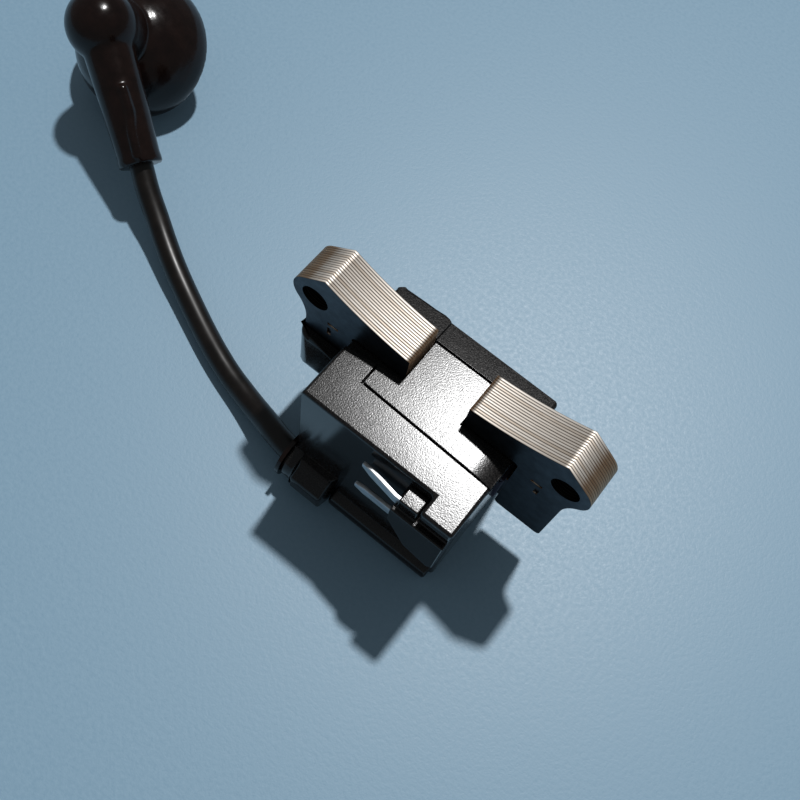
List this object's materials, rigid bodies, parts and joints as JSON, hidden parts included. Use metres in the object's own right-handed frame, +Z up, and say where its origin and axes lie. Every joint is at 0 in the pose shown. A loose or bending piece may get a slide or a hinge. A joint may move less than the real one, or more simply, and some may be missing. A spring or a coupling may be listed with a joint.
{
  "type": "ignition coil",
  "caption": "Small-engine ignition coil: laminated steel core with two bolt ears, black potted case, spade terminals, high-tension lead and elbow plug cap.",
  "frame": {"origin": "middle of the underside of the coil itself (case, core and terminals), lead and cap left out", "axes": "+X along the two bolt ears towards the terminal end, +Y along the bolt holes to the back of the case, +Z up through the open pole faces"},
  "size_m": [0.1519, 0.0687, 0.0501],
  "materials": {
    "moulded_case": "black filled thermoplastic, fine grained top, smooth glossy side walls",
    "lamination_steel": "stamped silicon steel stack, bare striped cut edges, dark blue-grey faces",
    "potting_resin": "black-brown epoxy casting resin, poured and self-levelled",
    "tinned_brass": "bright tin-plated brass blades",
    "bobbin_plastic": "moulded glass-filled polyester",
    "copper_wire": "enamelled copper magnet wire",
    "board_laminate": "glass-epoxy board with green mask",
    "component_epoxy": "moulded component bodies",
    "brass_strip": "plain brass strip and pins",
    "moulded_rubber": "brown-black compression-moulded EPDM, satin to glossy",
    "lead_jacket": "black extruded high-tension cable jacket, glossy",
    "spring_steel": "zinc-plated spring steel"
  },
  "bodies": {
    "root": {"housing": "moulded_case", "coil_cover": "moulded_case", "potting_resin": "potting_resin", "terminal_block": "moulded_case", "stop_terminal": "tinned_brass", "ground_terminal": "tinned_brass", "core_left": "lamination_steel", "core_right": "lamination_steel", "core_bar": "lamination_steel", "primary_bobbin": "bobbin_plastic", "primary_winding": "copper_wire", "secondary_bobbin": "bobbin_plastic", "secondary_winding": "copper_wire", "circuit_board": "board_laminate", "switching_transistor": "component_epoxy", "timing_capacitor": "component_epoxy", "clamp_diode": "component_epoxy", "control_resistors": "component_epoxy", "ground_strap": "brass_strip", "ht_pin": "brass_strip", "lead_grommet": "moulded_rubber", "ht_lead": "lead_jacket", "plug_cap": "moulded_rubber", "cap_clip": "spring_steel", "cap_spike": "brass_strip"}
  },
  "joints": []
}
